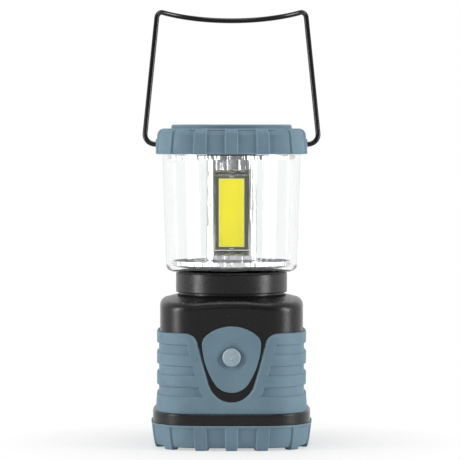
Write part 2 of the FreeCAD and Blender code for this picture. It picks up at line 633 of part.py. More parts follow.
def contact_carrier():
    carrier = prism(value("body_half - wall - slip_gap"), CARRIER_LOW, CARRIER_TOP)
    for x, y in CARRIER_POSTS:
        carrier = carrier.cut(cylinder(value("thread_radius + fit_gap"), CARRIER_LOW - 1, CARRIER_TOP + 1, x, y))
    keep("contact_carrier", solid_feature("contact_carrier", carrier))
    screws = []
    for number, (x, y) in enumerate((("1", "0"), ("0", "1"), ("-1", "0")), 1):
        reach = "(cell_pitch + cell_radius - fastener_head)"
        place = (f"{x} * {reach}", f"{y} * {reach}")
        low = "foot_height + boot_skin + cover_floor + contact_sheet * 2 + slip_gap + spring_height + cell_length"
        head = rod(f"carrier_head_{number}", "fastener_head", "fastener_head_height",
                   (*place, f"{low} - fastener_head_height"))
        shank = rod(f"carrier_shank_{number}", "thread_radius", "carrier_thickness + 4", (*place, low))
        screws.append(fused(f"carrier_screw_{number}", [head, shank]))
    keep("carrier_screws", group("carrier_screws", screws))

    deck = f"{low} + carrier_thickness"
    driver = block("driver_board", ("driver_half * 2", "driver_half * 1.6", "board_thickness"),
                   ("-driver_half", "-driver_half * 0.8", deck))
    keep("driver_board", driver)
    top = f"{deck} + board_thickness"
    chip = block("driver_chip", ("driver_half * 0.4", "driver_half * 0.3", "driver_half * 0.1"),
                 ("-driver_half * 0.2", "-driver_half * 0.15", top))
    coil = rod("driver_coil", "driver_half * 0.22", "driver_half * 0.25", ("driver_half * 0.6", "0", top))
    bulk = rod("driver_capacitor", "driver_half * 0.2", "driver_half * 0.3", ("-driver_half * 0.62", "0", top))
    keep("board_components", group("board_components", [chip, coil, bulk]))


battery_cover()
cover_boot()
cover_screw()
cells()
contacts()
battery_frame()
contact_carrier()


# Lamp head: collar, seal and clear globe round a chromed reflector with a four-sided column
DECK = "deck_top + neck_height"
COLLAR_TOP = f"{DECK} + collar_height"
GLOBE_FLOOR = f"{COLLAR_TOP} + seal_height"
DISH_FOOT = f"{GLOBE_FLOOR} + globe_wall + slip_gap / 3"
SPIGOT_FOOT = f"{COLLAR_TOP} - spigot_depth"


def collar():
    bore = "spigot_radius + slip_gap"
    body = turned("collar_turned", [("collar_bore", DECK), ("collar_radius", DECK), ("collar_radius", COLLAR_TOP),
                                    (bore, COLLAR_TOP), (bore, SPIGOT_FOOT), ("collar_bore", SPIGOT_FOOT)])
    rounded_edges(body, "lid_round / 2", ring_edge("collar_radius", COLLAR_TOP))
    rounded_edges(body, "lid_round / 2", ring_edge("collar_radius", DECK))
    ring = "(neck_radius + collar_bore) / 2 / sqrt(2)"
    holes, screws = [], []
    for number, (x, y) in enumerate(((1, 1), (-1, 1), (-1, -1), (1, -1)), 1):
        place = (f"{x} * {ring}", f"{y} * {ring}")
        head_foot = f"{SPIGOT_FOOT} - fastener_head_height"
        holes.append(rod(f"collar_hole_{number}", "thread_radius + fit_gap", "collar_height", (*place, DECK)))
        holes.append(rod(f"collar_sink_{number}", "fastener_head + fit_gap", "collar_height", (*place, head_foot)))
        head = rod(f"collar_head_{number}", "fastener_head", "fastener_head_height - fit_gap", (*place, head_foot))
        shank_foot = f"{head_foot} - collar_height + 2"
        shank = rod(f"collar_shank_{number}", "thread_radius", "collar_height - 2", (*place, shank_foot))
        screws.append(fused(f"collar_screw_{number}", [head, shank]))
    keep("collar", less("collar", body, *holes))
    keep("collar_screws", group("collar_screws", screws))

    seal_bore = "spigot_radius + slip_gap"
    seal_edge = "collar_radius - lid_round / 2"
    seal = turned("globe_seal", [(seal_bore, COLLAR_TOP), (seal_edge, COLLAR_TOP), (seal_edge, GLOBE_FLOOR),
                                 (seal_bore, GLOBE_FLOOR)])
    keep("globe_seal", seal)


def globe():
    inside = f"{GLOBE_FLOOR} + globe_wall"
    spigot_bore = "spigot_radius - globe_wall"
    rim = f"{GLOBE_FLOOR} + globe_height"
    foot = f"{SPIGOT_FOOT} + slip_gap"
    body = turned("globe", [(spigot_bore, foot), ("spigot_radius", foot), ("spigot_radius", GLOBE_FLOOR),
                            ("globe_base_radius", GLOBE_FLOOR), ("globe_top_radius", rim),
                            ("globe_top_radius - globe_wall", rim), ("globe_base_radius - globe_wall", inside),
                            (spigot_bore, inside)])
    rounded_edges(body, "globe_round", ring_edge("globe_base_radius", GLOBE_FLOOR))
    rounded_edges(body, "globe_round - globe_wall", ring_edge("globe_base_radius - globe_wall", inside))
    keep("globe", body)


def at_side(feature, corner, quarter):
    """Place a feature by its corner at the front, then carried round by quarter turns."""
    x, y, z = corner
    spots = [(x, y), (f"-({y})", x), (f"-({x})", f"-({y})"), (y, f"-({x})")]
    feature.Placement = Placement(Vector(), QUARTERS[quarter])
    for axis, formula in zip("xyz", (*spots[quarter], z)):
        feature.setExpression(f"Placement.Base.{axis}", bound(formula))
    return feature


DRIVER_TOP = ("foot_height + boot_skin + cover_floor + contact_sheet * 2 + slip_gap + spring_height"
              " + cell_length + carrier_thickness + board_thickness + driver_half * 0.1")
SIDES = ("front", "right", "rear", "left")


def reflector():
    plate = f"{DISH_FOOT} + dish_plate"
    lip = f"{DISH_FOOT} + dish_lip"
    thin = "dish_plate * 0.8"
    dish = turned("dish_turned", [("0", DISH_FOOT), ("dish_radius - dish_plate", DISH_FOOT), ("dish_radius", plate),
                                  ("dish_radius", lip), (f"dish_radius - {thin}", lip),
                                  (f"dish_radius - {thin}", plate), ("0", plate)])
    stem = block("column_stem", ("column_half * 2", "column_half * 2", f"column_top - ({DISH_FOOT})"),
                 ("-column_half", "-column_half", DISH_FOOT))
    doc.recompute()
    upright = softened("column_upright", stem, "column_corner", lambda box: box.ZLength > value("column_half"))
    blank = fused("reflector_blank", [dish, upright])
    doc.recompute()
    root = value(plate)
    body = softened("reflector_body", blank, "column_flare",
                    lambda box: box.ZLength < 1e-3 and abs(box.ZMin - root) < 1e-3
                    and max(box.XMax, box.YMax, -box.XMin, -box.YMin) < value("column_half") + 1e-3)
    core = block("column_hole", ("column_core * 2", "column_core * 2", "column_top"),
                 ("-column_core", "-column_core", "globe_base_radius"))
    windows = []
    for quarter, side in enumerate(SIDES):
        window = doc.addObject("Part::Wedge", f"window_{side}")
        run = "(column_half + column_flare - flat_depth)"
        sizes = {"Xmin": "-window_half", "Xmax": "window_half", "X2min": "-window_half",
                 "X2max": "window_half", "Ymin": "-column_half - column_flare", "Ymax": "-flat_depth",
                 "Zmin": f"flat_bottom - {run} * flat_slope", "Zmax": f"flat_top + {run} * flat_slope",
                 "Z2min": "flat_bottom", "Z2max": "flat_top"}
        for prop, formula in sizes.items():
            window.setExpression(prop, bound(formula))
        window.Placement = Placement(Vector(), QUARTERS[quarter])
        windows.append(window)
    keep("reflector", less("reflector", body, core, *windows))


def led_column():
    core, foot = "(column_core - slip_gap / 2)", DISH_FOOT
    bar = block("sink_bar", (f"{core} * 2", f"{core} * 2", f"column_top - ({foot})"),
                (f"-{core}", f"-{core}", foot))
    duct = rod("sink_duct", "wire_bore", f"column_top - ({foot})", ("0", "0", foot))
    threads = [rod(f"sink_thread_{number}", "thread_radius + fit_gap", "thread_depth",
                   (f"{x} * cap_screw_place", f"{y} * cap_screw_place", "column_top - thread_depth"))
               for number, (x, y) in enumerate(((1, 1), (-1, 1), (-1, -1), (1, -1)), 1)]
    keep("led_heat_sink", less("led_heat_sink", bar, duct, *threads))

    middle = "(flat_bottom + flat_top) / 2"
    for quarter, side in enumerate(SIDES):
        board = block(f"led_board_{side}", ("led_board_half * 2", "led_board_thickness", "led_board_height"), ())
        at_side(board, ("-led_board_half", "-flat_depth - led_board_thickness", f"{middle} - led_board_height / 2"),
                quarter)
        keep(f"led_board_{side}", board)
        phosphor = block(f"led_phosphor_{side}", ("led_half * 2", "led_thickness", "led_height"), ())
        at_side(phosphor, ("-led_half", "-flat_depth - led_board_thickness - led_thickness",
                           f"{middle} - led_height / 2"), quarter)
        keep(f"led_phosphor_{side}", phosphor)

    leads = [rod(f"led_lead_{number}", "lead_radius", f"{middle} - ({DRIVER_TOP})", (x, "0", DRIVER_TOP))
             for number, x in enumerate(("-lead_radius * 2", "lead_radius * 2"), 1)]
    keep("led_leads", group("led_leads", leads))


# Cap: stiff shell over the globe's rim, ribbed rubber boot and a round top plate
def cap_shell():
    low, high = value("cap_bottom"), value("cap_top - cap_skin")
    half = value("cap_top_half - cap_wall")
    corner = value("cap_corner") - value("cap_wall")
    wall = value("cap_shell_wall")
    shell = prism(half, low, high, corner)
    shell = shell.cut(prism(half - wall, low - 1, high - wall, corner - wall))
    groove_inner = value("globe_top_radius - globe_wall - slip_gap")
    ring = cylinder(groove_inner, low, high - 1).cut(cylinder(groove_inner - wall, low - 1, high))
    shell = shell.fuse(ring).fuse(cylinder(value("column_half"), value("column_top + disc_height"), high - 1))
    pivot = value("bail_height")
    bearing = value("bail_wire + cap_shell_wall")
    for side in (-1, 1):
        start = Vector(side * (groove_inner - wall / 2), 0, pivot)
        shell = shell.fuse(Part.makeCylinder(bearing, half - groove_inner + wall / 4, start, Vector(side, 0, 0)))
    globe_rim = value(f"{GLOBE_FLOOR} + globe_height + slip_gap")
    rim_slot = cylinder(value("globe_top_radius + slip_gap"), low - 1, globe_rim)
    rim_slot = rim_slot.cut(cylinder(groove_inner, low - 2, globe_rim + 1))
    shell = shell.cut(rim_slot)
    pivot_bore = Part.makeCylinder(value("bail_wire + bail_gap"), 120, Vector(-60, 0, pivot), Vector(1, 0, 0))
    core = cylinder(value("column_half") + 1, low - 20, high + 1)
    shell = shell.cut(pivot_bore.cut(core))
    place = value("cap_screw_place")
    for x in (-place, place):
        for y in (-place, place):
            shell = shell.cut(cylinder(value("thread_radius + fit_gap"), low - 20, high + 1, x, y))
            sink_low = high - value("fastener_head_height")
            shell = shell.cut(cylinder(value("fastener_head + fit_gap"), sink_low, high + 1, x, y))
    keep("cap_shell", solid_feature("cap_shell", shell.removeSplitter()))


def cap_boot():
    low, high = value("cap_bottom"), value("cap_top")
    half, top_half, corner = value("cap_half"), value("cap_top_half"), value("cap_corner")
    boot = tapered(half, top_half, low, high, corner, corner)
    boot = boot.makeFillet(value("cap_edge"), edges_at(boot, high, top_half))
    sunk = value("panel_depth")
    panel_skin = tapered(half - sunk, top_half - sunk, low - 0.01, high, corner - sunk, corner - sunk)
    for box in panel_boxes(low + value("cap_panel_rim"), high + 1, half, corner):
        boot = boot.cut(box.cut(panel_skin).common(cylinder(80, low, high)))
    inner = value("cap_top_half - cap_wall + fit_gap")
    boot = boot.cut(prism(inner, low - 1, value("cap_top - cap_skin"), corner - value("cap_wall")))
    boot = boot.cut(cylinder(value("lid_spigot + fit_gap"), low, high + 1))
    grommet = Part.makeCylinder(value("bail_wire + slip_gap + fit_gap"), 120, Vector(-60, 0, value("bail_height")),
                                Vector(1, 0, 0))
    keep("cap_boot", solid_feature("cap_boot", boot.cut(grommet).removeSplitter()))


def cap_fittings():
    plate_top = "cap_top + lid_height"
    plate = turned("cap_plate", [("0", "cap_top - cap_skin"), ("lid_spigot", "cap_top - cap_skin"),
                                 ("lid_spigot", "cap_top"), ("lid_radius", "cap_top"), ("lid_radius", plate_top),
                                 ("0", plate_top)])
    rounded_edges(plate, "lid_round", ring_edge("lid_radius", plate_top))
    keep("cap_plate", plate)

    disc_top = "column_top + disc_height"
    disc_edge = "globe_top_radius - globe_wall * 1.5"
    disc = turned("disc_turned", [("0", "column_top"), (disc_edge, "column_top"), (disc_edge, disc_top),
                                  ("0", disc_top)])
    holes, screws = [], []
    for number, (x, y) in enumerate(((1, 1), (-1, 1), (-1, -1), (1, -1)), 1):
        place = (f"{x} * cap_screw_place", f"{y} * cap_screw_place")
        holes.append(rod(f"disc_hole_{number}", "thread_radius + fit_gap", "disc_height", (*place, "column_top")))
        seat = "cap_top - cap_skin - fastener_head_height"
        head = rod(f"cap_head_{number}", "fastener_head", "fastener_head_height - fit_gap", (*place, seat))
        tip = "column_top - thread_depth + 1"
        shank = rod(f"cap_shank_{number}", "thread_radius", f"{seat} - ({tip})", (*place, tip))
        screws.append(fused(f"cap_screw_{number}", [head, shank]))
    keep("top_reflector", less("top_reflector", disc, *holes))
    keep("cap_screws", group("cap_screws", screws))


# Bail: one length of wire, hooked into the cap at both ends, its grip bowed to the back
def bail_path():
    half, top_half, reach = value("bail_half"), value("bail_top_half"), value("bail_reach")
    splay = math.radians(value("bail_splay"))
    tip = Vector(half - value("bail_pin"), 0, 0)
    elbow = Vector(half, 0, 0)
    shoulder = Vector(top_half, 0, reach)
    along_bar = Vector(-math.cos(splay), math.sin(splay), 0)
    leg = (shoulder - elbow).normalize()

    def bend(corner, inward, outward, radius):
        """Arc of that radius where one direction turns into another at a corner."""
        turn = inward.getAngle(outward)
        back = radius * math.tan(turn / 2)
        start, end = corner - inward * back, corner + outward * back
        middle = corner + (outward - inward).normalize() * (radius / math.cos(turn / 2) - radius)
        return start, middle, end

    low_bend = bend(elbow, Vector(1, 0, 0), leg, value("bail_bend"))
    high_bend = bend(shoulder, leg, along_bar, value("bail_corner"))
    bar_start = high_bend[2]
    right = [Part.makeLine(tip, low_bend[0]), Part.Arc(*low_bend).toShape(),
             Part.makeLine(low_bend[2], high_bend[0]), Part.Arc(*high_bend).toShape()]
    # the grip starts along the bend's last direction, so its arc is set from that tangent
    radius = bar_start.x / math.sin(splay)
    apex = Vector(0, bar_start.y + radius * (1 - math.cos(splay)), reach)
    grip = Part.Arc(bar_start, apex, Vector(-bar_start.x, bar_start.y, reach)).toShape()
    left = [edge.mirror(Vector(), Vector(1, 0, 0)) for edge in right]
    return Part.Wire(Part.__sortEdges__(right + [grip] + left)), tip


def bail():
    path, tip = bail_path()
    profile = Part.Wire(Part.makeCircle(value("bail_wire"), tip, Vector(1, 0, 0)))
    wire = path.makePipeShell([profile], True, False)
    wire.rotate(Vector(), Vector(1, 0, 0), -value("bail_lean"))
    wire.translate(Vector(0, 0, value("bail_height")))
    keep("bail", solid_feature("bail", wire))


collar()
globe()
reflector()
led_column()
cap_shell()
cap_boot()
cap_fittings()
bail()

doc.recompute()
for item in doc.Objects:
    if "Invalid" in item.State or "Error" in item.State:
        raise RuntimeError(f"{item.Name} did not build")
for feature in SUB_PARTS:
    if not feature.Shape.isValid():
        raise RuntimeError(f"{feature.Label} is not a valid shape")

os.makedirs("parts", exist_ok=True)
for feature in SUB_PARTS:
    feature.Shape.exportStep(f"parts/{feature.Label}.step")
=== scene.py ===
"""Camping lantern: square battery base, clear globe over a chromed LED column, booted cap, wire bail.
Metres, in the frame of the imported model: +Z up, the front with the power button towards -Y.
"""
import math

import bmesh
import bpy
from mathutils import Matrix, Vector


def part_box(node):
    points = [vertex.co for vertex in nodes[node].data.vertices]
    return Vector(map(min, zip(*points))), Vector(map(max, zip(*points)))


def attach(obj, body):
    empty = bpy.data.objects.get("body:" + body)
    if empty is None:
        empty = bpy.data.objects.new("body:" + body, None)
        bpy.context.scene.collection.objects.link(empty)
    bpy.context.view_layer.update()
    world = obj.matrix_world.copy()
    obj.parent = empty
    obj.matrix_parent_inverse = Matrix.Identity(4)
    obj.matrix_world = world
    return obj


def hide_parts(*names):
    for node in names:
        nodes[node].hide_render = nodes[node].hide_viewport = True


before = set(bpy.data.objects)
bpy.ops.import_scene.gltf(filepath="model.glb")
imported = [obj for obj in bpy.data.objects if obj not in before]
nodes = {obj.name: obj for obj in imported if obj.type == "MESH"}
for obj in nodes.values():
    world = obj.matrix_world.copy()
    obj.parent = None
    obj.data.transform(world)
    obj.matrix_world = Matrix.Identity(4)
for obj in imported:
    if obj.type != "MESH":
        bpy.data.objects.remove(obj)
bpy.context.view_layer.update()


# Battery cover boot.
# A thick rubber shoe moulded over the battery cover.  Three ribs on each side and one on each corner
# stand proud of sunk panels, and run down under the edge to make the feet.
MM = 0.001
SIDE_CROWN = 250 * MM


def crowned_corner(half, corner):
    """Centre of the corner arc, and the angle at which it meets the bowed side."""
    drop = SIDE_CROWN - half
    reach = SIDE_CROWN - corner
    centre = (-drop + math.sqrt(2 * reach * reach - drop * drop)) / 2
    return centre, math.atan2(centre, centre + drop)


def crowned_square(half, corner, along):
    """Point on a square with bowed sides, at a share 0 to 1 of the way round.

    The way starts in the middle of the front side and runs towards +X.
    """
    centre, lean = crowned_corner(half, corner)
    side = SIDE_CROWN * lean
    bend = corner * (math.pi / 2 - 2 * lean)
    quarter = 2 * side + bend
    turns, place = divmod((along % 1) * 4, 1)
    place *= quarter
    if place < side:
        angle = place / SIDE_CROWN
        x, y = SIDE_CROWN * math.sin(angle), SIDE_CROWN * math.cos(angle) - (SIDE_CROWN - half)
    elif place < side + bend:
        angle = lean + (place - side) / corner
        x, y = centre + corner * math.sin(angle), centre + corner * math.cos(angle)
    else:
        angle = math.pi / 2 - (quarter - place) / SIDE_CROWN
        x, y = SIDE_CROWN * math.sin(angle) - (SIDE_CROWN - half), SIDE_CROWN * math.cos(angle)
    return Matrix.Rotation(turns * math.pi / 2, 3, "Z") @ Vector((x, -y, 0))


def round_the_body(half, along):
    """Point on a wall that follows the housing's outline at another half width."""
    return crowned_square(half, BODY_CORNER + half - BODY_HALF, along)


def ease(low, high, x):
    """Smooth step from 0 at low to 1 at high."""
    t = min(max((x - low) / (high - low), 0.0), 1.0)
    return t * t * (3 - 2 * t)


def window(x, start, end, soft):
    """1 between start and end, falling smoothly to 0 over a soft edge inside each."""
    return ease(start, start + soft, x) * (1 - ease(end - soft, end, x))


def piece_from(name, verts, faces, material):
    mesh = bpy.data.meshes.new(name)
    mesh.from_pydata(verts, [], faces)
    mesh.validate()
    mesh.shade_smooth()
    mesh.materials.append(material)
    piece = bpy.data.objects.new(name, mesh)
    bpy.context.scene.collection.objects.link(piece)
    return piece


def moulded_ring(name, rounds, rows, spot, material, keep_face=None, closed=True):
    """A moulded wall: rows of points round the axis, joined into faces and, if closed, back to row 0.

    spot(share, row) gives the point of a row at a share of the way round, and keep_face(corners) says
    whether a face is there.
    """
    verts = [spot(step / rounds, row) for row in range(rows) for step in range(rounds)]
    faces = []
    for row in range(rows if closed else rows - 1):
        above = (row + 1) % rows
        for step in range(rounds):
            after = (step + 1) % rounds
            face = (row * rounds + step, row * rounds + after, above * rounds + after, above * rounds + step)
            if keep_face is None or keep_face([verts[i] for i in face]):
                faces.append(face)
    return piece_from(name, verts, faces, material)


def moulded_material(name, colour, edge_sheen_colour, roughness, grain=0.25, metallic=0.0, speck=2600, shine=0.5):
    """Material of a moulded or plated piece: cloudy colour, uneven polish, fine grain, and convex edges
    painted lighter as a painted highlight.
    """
    cloud_scale, polish_scale, grain_depth = 70, 420, 0.1 * MM
    deep, pale = 0.93, 1.05
    material = bpy.data.materials.new(name)
    material.use_nodes = True
    tree, links = material.node_tree.nodes, material.node_tree.links
    surface = tree["Principled BSDF"]
    surface.inputs["Metallic"].default_value = metallic
    surface.inputs["Specular IOR Level"].default_value = shine
    place = tree.new("ShaderNodeTexCoord")

    def noise(scale, detail):
        texture = tree.new("ShaderNodeTexNoise")
        texture.inputs["Scale"].default_value = scale
        texture.inputs["Detail"].default_value = detail
        links.new(place.outputs["Object"], texture.inputs["Vector"])
        return texture.outputs["Fac"]

    def spread(source, low, high, to_low, to_high):
        mapped = tree.new("ShaderNodeMapRange")
        for socket, level in zip(("From Min", "From Max", "To Min", "To Max"), (low, high, to_low, to_high)):
            mapped.inputs[socket].default_value = level
        links.new(source, mapped.inputs["Value"])
        return mapped.outputs["Result"]

    def blend(share, first, second):
        mix = tree.new("ShaderNodeMix")
        mix.data_type = "RGBA"
        links.new(share, mix.inputs["Factor"])
        for socket, source in zip((mix.inputs["A"], mix.inputs["B"]), (first, second)):
            if isinstance(source, bpy.types.NodeSocket):
                links.new(source, socket)
            else:
                socket.default_value = (*source, 1)
        return mix.outputs["Result"]

    clouds = spread(noise(cloud_scale, 4), 0.35, 0.65, 0, 1)
    cloudy = blend(clouds, [deep * level for level in colour], [pale * level for level in colour])
    geometry = tree.new("ShaderNodeNewGeometry")
    # Painted highlight: convex edges, picked out by pointiness, are blended towards a lighter edge colour.
    edge_sheen_share = spread(geometry.outputs["Pointiness"], 0.52, 0.60, 0, 0.55)
    links.new(blend(edge_sheen_share, cloudy, edge_sheen_colour), surface.inputs["Base Color"])
    polish = spread(noise(polish_scale, 3), 0.3, 0.7, roughness * 0.85, roughness * 1.15)
    links.new(polish, surface.inputs["Roughness"])
    grained = tree.new("ShaderNodeBump")
    grained.inputs["Strength"].default_value = grain
    grained.inputs["Distance"].default_value = grain_depth
    links.new(noise(speck, 2), grained.inputs["Height"])
    links.new(grained.outputs["Normal"], surface.inputs["Normal"])
    return material


def dress(material, *names):
    """Give CAD nodes a better material."""
    for name in names:
        for holder in nodes[name].material_slots:
            holder.material = material


def rib_mask(spot, diagonal):
    """1 on the ribs of a boot and 0 on its sunk panels, for a point of its wall."""
    place = min(abs(spot.x), abs(spot.y))
    reach = RIB_WIDTH / 2 + RIB_SOFT
    ribs = [window(place, centre - reach, centre + reach, 2 * RIB_SOFT) for centre in (0, RIB_PITCH)]
    edge = diagonal - RIB_WIDTH / 2 / math.sqrt(2)
    return max(*ribs, ease(edge - RIB_SOFT, edge + RIB_SOFT, place))


def diagonal_of(half, corner):
    """How far out the middle of a corner lies along each axis."""
    centre = crowned_corner(half, corner)[0]
    return centre + corner / math.sqrt(2)


RIB_WIDTH, RIB_PITCH, RIB_SOFT = 7.1 * MM, 18.5 * MM, 0.28 * MM
PANEL_DEPTH = 0.9
BODY_HALF, BODY_CORNER = 41.8 * MM, 23.0 * MM
RUBBER = (0.147, 0.231, 0.287)
rubber = moulded_material("rubber", RUBBER, (0.21, 0.30, 0.36), 0.62, grain=0.22, shine=0.3)
BOOT_LOW, BOOT_HIGH, BOOT_FOOT_HALF, BOOT_TOP_HALF = 1.4, 14.5, 45.3, 47.0
DISH_HALF, DISH_FLOOR, SCREW_HOLE = 42.96, 2.25, 6.8


def boot_half(height):
    return BOOT_FOOT_HALF + (BOOT_TOP_HALF - BOOT_FOOT_HALF) * (height - BOOT_LOW) / (BOOT_HIGH - BOOT_LOW)


# rows of (half width, height) in millimetres on a rib and on a panel, from the screw hole out and round
boot_rows = [((39.0, BOOT_LOW), (39.0, BOOT_LOW)), ((39.3, 1.3), (39.4, BOOT_LOW)),
             ((39.5, 0.4), (40.0, BOOT_LOW)), ((39.9, 0.0), (40.4, BOOT_LOW)),
             ((43.6, 0.0), (42.5, 1.42)), ((44.3, 0.15), (43.2, 1.6)), ((44.7, 0.5), (43.8, 1.95)),
             ((44.95, 1.0), (44.1, 2.5)), ((45.2, 2.2), (44.35, 3.5))]
for height in (5.0, 6.5, 8.0, 9.5, 11.0, 12.2, 12.6):
    boot_rows.append(((boot_half(height), height), (boot_half(height) - PANEL_DEPTH, height)))
for height, sunk in ((12.85, 0.75), (13.1, 0.4), (13.35, 0.1), (13.7, 0.0), (14.1, 0.05), (14.35, 0.2)):
    boot_rows.append(((boot_half(height), height), (boot_half(height) - sunk, height)))
for half, height in ((46.6, 14.47), (46.2, BOOT_HIGH), (DISH_HALF, BOOT_HIGH),
                     (DISH_HALF, 3.6), (42.2, DISH_FLOOR)):
    boot_rows.append(((half, height), (half, height)))
boot_diagonal = diagonal_of(BOOT_TOP_HALF * MM, BODY_CORNER + BOOT_TOP_HALF * MM - BODY_HALF)


def boot_spot(share, row):
    if row in (0, len(boot_rows) + 1):
        angle = share * 2 * math.pi
        height = BOOT_LOW if row == 0 else DISH_FLOOR
        return Vector((SCREW_HOLE * math.sin(angle), -SCREW_HOLE * math.cos(angle), height)) * MM
    (rib_half, rib_height), (panel_half, panel_height) = boot_rows[row - 1]
    mask = rib_mask(round_the_body(BOOT_TOP_HALF * MM, share), boot_diagonal)
    spot = round_the_body((panel_half + (rib_half - panel_half) * mask) * MM, share)
    spot.z = (panel_height + (rib_height - panel_height) * mask) * MM
    return spot


base_boot = moulded_ring("base_boot", 1200, len(boot_rows) + 2, boot_spot, rubber)
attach(base_boot, "battery_cover")
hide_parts("cover_boot")


# Grip sleeve.
# A rubber sleeve stretched over the housing's walls, with three broad grip grooves round it.
# A shield-shaped opening at the front leaves the housing bare round the switch, inside a plain rail.
SLEEVE_LOW, SLEEVE_TOP = 21.15, 67.1
SLEEVE_HALF, SKIRT_HALF, GROOVE_HALF = 43.6, 44.2, 42.4
GROOVE_COUNT, GROOVE_FIRST, GROOVE_HEIGHT, GROOVE_PITCH = 3, 30.6, 5.7, 12.1
SHIELD_TOE, SHIELD_ROUND, SHIELD_SLANT = 27.7, 14.0, math.radians(15.6)
SHIELD_LIP, SHIELD_REACH, SHIELD_TRIM, FAR_FROM_SHIELD = 8.1, 36.0, 0.5, 99.0
RAIL_WIDTH, RAIL_SOFT = 5.7, 0.4
GROOVE_SPREAD, GROOVE_SOFT = 0.25, 0.75
SKIRT_RISE, HIDDEN_HALF = 9.0, 41.3
OPENING_ROUND, TOP_ROUND, TOP_START, ROW_STEP = 0.9, 1.0, 0.9, 0.28
shield_centre = SHIELD_TOE + SHIELD_ROUND


def shield_edge(height):
    """Half width of the slanted part of the opening at a height."""
    return SHIELD_ROUND / math.cos(SHIELD_SLANT) + math.tan(SHIELD_SLANT) * (height - shield_centre)


def shield_gap(x, height):
    """Distance from the opening's edge: positive on the rubber, negative in the opening."""
    x = abs(x)
    side = (x - shield_edge(height)) * math.cos(SHIELD_SLANT)
    if height < shield_centre - x * math.tan(SHIELD_SLANT):
        side = math.hypot(x, height - shield_centre) - SHIELD_ROUND
    lip_level = SLEEVE_TOP - SHIELD_LIP
    lip_centre = shield_edge(lip_level) + SHIELD_LIP / math.cos(SHIELD_SLANT)
    if height > lip_level and x < lip_centre:
        side = min(side, SHIELD_LIP - math.hypot(x - lip_centre, height - lip_level))
    return side


sleeve_levels = [SLEEVE_LOW]
while sleeve_levels[-1] < SLEEVE_TOP - TOP_START:
    sleeve_levels.append(sleeve_levels[-1] + ROW_STEP)
sleeve_levels += [SLEEVE_TOP - drop for drop in (0.6, 0.35, 0.15, 0.03, 0, 0)]


def round_over(way, radius):
    """Rise of a rounded edge from 0 to 1 over its radius."""
    return math.sqrt(1 - (1 - min(max(way / radius, 0), 1)) ** 2)


def sleeve_spot(share, row):
    height = sleeve_levels[row]
    outer = round_the_body(SLEEVE_HALF * MM, share)
    at_front = outer.y < 0 and abs(outer.x) < SHIELD_REACH * MM
    gap = shield_gap(outer.x / MM, height) if at_front else FAR_FROM_SHIELD
    half = SLEEVE_HALF + (SKIRT_HALF - SLEEVE_HALF) * min(max((GROOVE_FIRST - height) / SKIRT_RISE, 0), 1)
    for number in range(GROOVE_COUNT):
        bottom = GROOVE_FIRST + number * GROOVE_PITCH
        groove = window(height, bottom - GROOVE_SPREAD, bottom + GROOVE_HEIGHT + GROOVE_SPREAD, GROOVE_SOFT)
        half -= (half - GROOVE_HALF) * groove * ease(RAIL_WIDTH - RAIL_SOFT, RAIL_WIDTH + RAIL_SOFT, gap)
    half -= TOP_ROUND * (1 - round_over(SLEEVE_TOP - height, TOP_ROUND))
    rise = round_over(gap, OPENING_ROUND)
    if row == len(sleeve_levels) - 1:
        rise = 0.0
    spot = round_the_body((HIDDEN_HALF + (half - HIDDEN_HALF) * rise) * MM, share)
    spot.z = height * MM
    return spot


def on_rubber(corners):
    return not all(spot.y < 0 and shield_gap(spot.x / MM, spot.z / MM) < -SHIELD_TRIM for spot in corners)


sleeve = moulded_ring("sleeve", 1080, len(sleeve_levels), sleeve_spot, rubber, on_rubber, closed=False)
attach(sleeve, "lantern_body")
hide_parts("grip_sleeve")


# Housing and collar.
# The housing is one satin black moulding: band over the battery cover, walls and coned shoulder.
# The collar is screwed down on its neck and clamps the globe, with a dark gap left under it.
black_plastic = moulded_material("black_plastic", (0.006, 0.006, 0.0065), (0.014, 0.014, 0.015), 0.30,
                                 grain=0.12, shine=0.3)
collar_plastic = moulded_material("collar_plastic", (0.008, 0.008, 0.009), (0.025, 0.025, 0.027), 0.30,
                                  grain=0.05, shine=0.35)
dress(black_plastic, "housing", "cap_shell")
dress(collar_plastic, "collar")


# Power switch.
# An egg-shaped rubber pad stands proud of the housing's front, with a funnel that leads to the button.
# The button is a translucent plastic dome on a flange, and its plunger works the switch behind.
pad_rubber = moulded_material("pad_rubber", RUBBER, (0.20, 0.29, 0.35), 0.55, grain=0.18, shine=0.3)
dress(pad_rubber, "switch_pad")
BUTTON_MIDDLE, BUTTON_RADIUS = 53.5, 5.28
BUTTON_BACK, BUTTON_FRONT = -40.2, -43.98
BUTTON_EDGE, FLANGE_RADIUS, FLANGE_HEIGHT, TURNING_EYE = 1.0, 6.6, 0.9, 0.02
milky_plastic = moulded_material("milky_plastic", (0.34, 0.43, 0.49), (0.43, 0.52, 0.58), 0.28, grain=0.08)
milky_surface = milky_plastic.node_tree.nodes["Principled BSDF"]
milky_surface.inputs["Subsurface Weight"].default_value = 0.35
milky_surface.inputs["Subsurface Radius"].default_value = (0.002, 0.0025, 0.003)


def lathe(name, outline, rounds, material):
    """A turned piece about +Z from a closed outline of (radius, height) points in millimetres."""
    def spot(share, row):
        radius, height = outline[row][0] * MM, outline[row][1] * MM
        angle = share * 2 * math.pi
        return Vector((radius * math.sin(angle), -radius * math.cos(angle), height))
    return moulded_ring(name, rounds, len(outline), spot, material)


def arc_points(centre, radius, start, end, steps):
    """Points of an arc in (radius, height) from one angle in degrees to another."""
    angles = [math.radians(start + (end - start) * step / steps) for step in range(steps + 1)]
    return [(centre[0] + radius * math.cos(a), centre[1] + radius * math.sin(a)) for a in angles]


